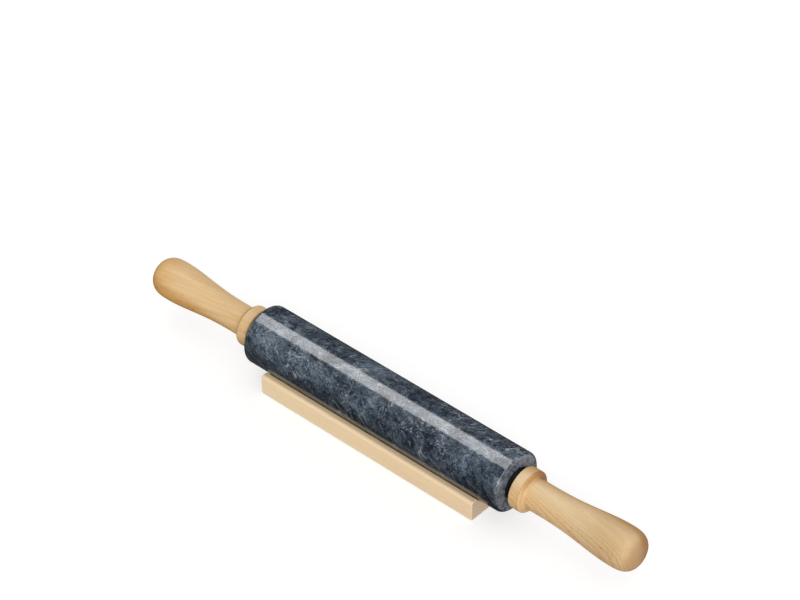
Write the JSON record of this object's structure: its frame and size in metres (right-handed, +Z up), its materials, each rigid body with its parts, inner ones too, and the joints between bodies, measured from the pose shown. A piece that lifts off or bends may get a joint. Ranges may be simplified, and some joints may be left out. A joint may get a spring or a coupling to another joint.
{
  "type": "rolling pin",
  "caption": "Rolling pin: a polished dark marble roller turns on a steel axle between turned beech handles, and the whole pin lifts off the grooved beech cradle it rests in.",
  "frame": {"origin": "middle of the cradle's flat underside", "axes": "+X along the pin's axis, towards the handle that is nearer in the picture; +Y across the cradle, away from the picture's camera; +Z up"},
  "size_m": [0.475, 0.051, 0.0565],
  "materials": {
    "marble": "polished, charcoal with pale veins",
    "beech": "satin oiled, turned",
    "pale_beech": "matte, sanded",
    "steel": "drawn bar",
    "brass": "machined",
    "nylon": "black moulded nylon"
  },
  "bodies": {
    "cradle": {"cradle": "pale_beech"},
    "grips": {"axle_rod": "steel", "left_washer": "steel", "right_washer": "steel", "left_insert": "brass", "right_insert": "brass", "left_handle": "beech", "right_handle": "beech"},
    "roller": {"marble_barrel": "marble", "left_bush": "nylon", "right_bush": "nylon"}
  },
  "joints": [
    {"name": "pin_lift", "type": "slide", "parent": "cradle", "child": "grips", "axis": [0, 0, 1], "range_m": [0, 0.18]},
    {"name": "barrel_spin", "type": "hinge", "parent": "grips", "child": "roller", "pos_m": [0, 0, 0.0323], "axis": [1, 0, 0], "continuous": true}
  ]
}
